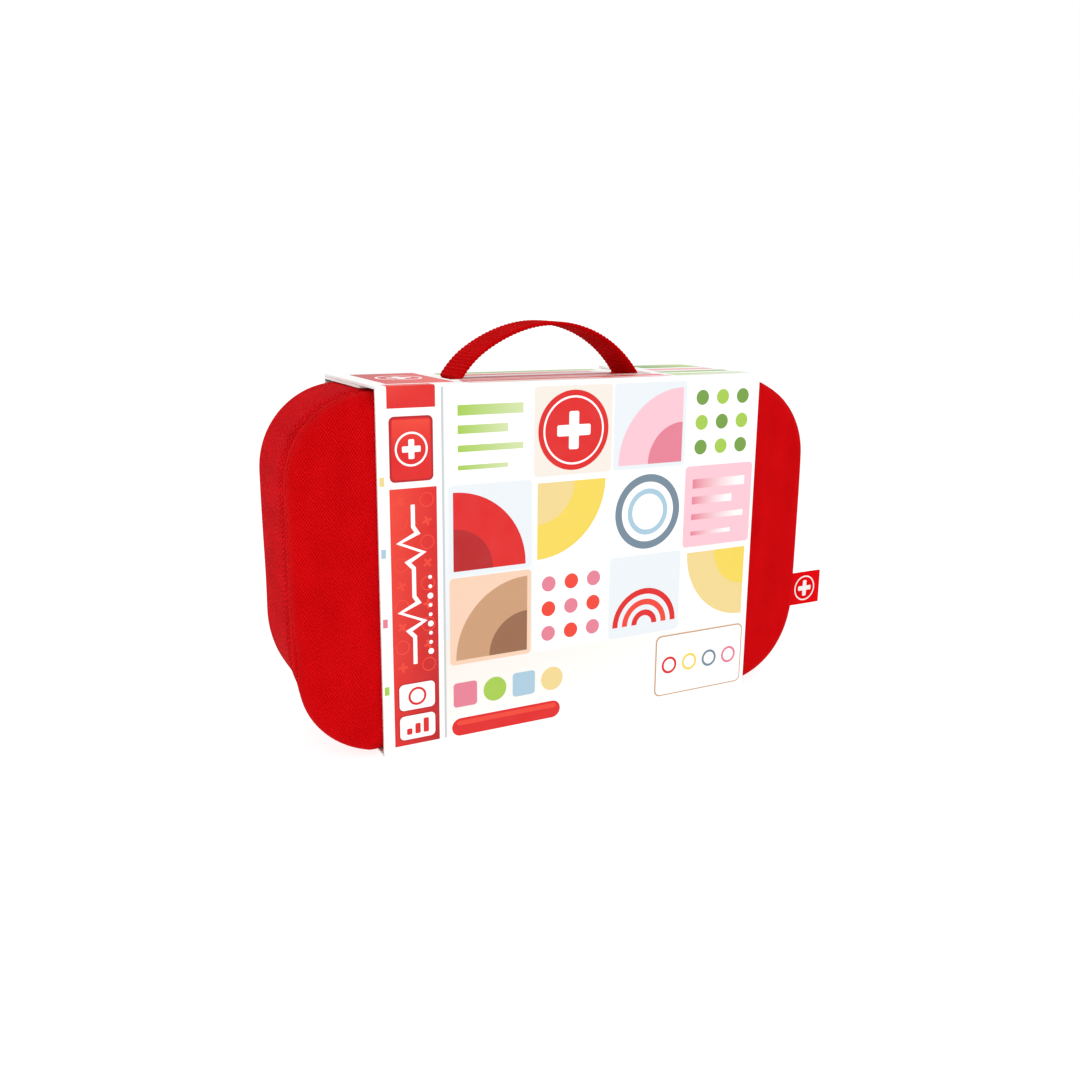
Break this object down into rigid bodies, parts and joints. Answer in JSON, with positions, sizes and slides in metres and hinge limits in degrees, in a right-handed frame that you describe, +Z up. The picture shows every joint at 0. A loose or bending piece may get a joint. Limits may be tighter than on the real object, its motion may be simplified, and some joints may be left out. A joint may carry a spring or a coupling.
{
  "type": "toy doctor case",
  "caption": "Padded textile toy case with a zipped fold-down lid, a webbing handle and a card sleeve round its middle.",
  "frame": {"origin": "centre of the card sleeve's bottom face, on which the case stands", "axes": "+X to the right along the width, +Y to the back, +Z up; the lid is at the front, -Y"},
  "size_m": [0.3012, 0.074, 0.1947],
  "materials": {
    "textile": "twill",
    "lining": "matt",
    "board": "matt",
    "elastic": "ribbed",
    "zip_textile": "woven",
    "zip_metal": "satin",
    "webbing": "ribbed",
    "label": "woven",
    "card": "satin print"
  },
  "bodies": {
    "case": {"rear_shell": "textile", "front_sill": "textile", "rear_lining": "lining", "sill_lining": "lining", "back_board": "board", "tool_band": "elastic", "zip_tape_rear": "zip_textile", "zip_coil_rear": "zip_textile", "zip_stops": "zip_metal", "handle_end_left": "webbing", "handle_end_right": "webbing", "sleeve_wrap": "card"},
    "lid": {"lid_shell": "textile", "lid_lining": "lining", "lid_board": "board", "lid_pocket": "elastic", "hinge_tape": "lining", "zip_tape_lid": "zip_textile", "zip_coil_lid": "zip_textile", "side_tab": "label"},
    "sleeve_front": {"sleeve_front": "card"},
    "sleeve_flap": {"sleeve_flap": "card"},
    "handle": {"handle_strap": "webbing"},
    "zip_slider": {"zip_slider": "zip_metal"},
    "zip_pull": {"zip_pull": "zip_metal"}
  },
  "joints": [
    {"name": "lid_hinge", "type": "hinge", "parent": "case", "child": "lid", "pos_m": [0, -0.0355, 0.012], "axis": [1, 0, 0], "range_deg": [0, 90]},
    {"name": "sleeve_front_fold", "type": "hinge", "parent": "case", "child": "sleeve_front", "pos_m": [0, -0.037, 0], "axis": [1, 0, 0], "range_deg": [0, 90]},
    {"name": "sleeve_flap_lift", "type": "hinge", "parent": "sleeve_front", "child": "sleeve_flap", "pos_m": [0, -0.037, 0.169], "axis": [1, 0, 0], "range_deg": [0, 90]},
    {"name": "handle_fold", "type": "hinge", "parent": "case", "child": "handle", "pos_m": [-0.004, 0.0105, 0.1691], "axis": [-1, 0, 0], "range_deg": [0, 80]},
    {"name": "zip_slide", "type": "slide", "parent": "case", "child": "zip_slider", "axis": [0, 0, 1], "range_m": [0, 0.058]},
    {"name": "pull_swing", "type": "hinge", "parent": "zip_slider", "child": "zip_pull", "pos_m": [0.13955, -0.0195, 0.061], "axis": [0, -1, 0], "range_deg": [0, 165]}
  ],
  "couplings": [
    {"joint": "sleeve_front_fold", "follows": "lid_hinge", "ratio": 1}
  ]
}
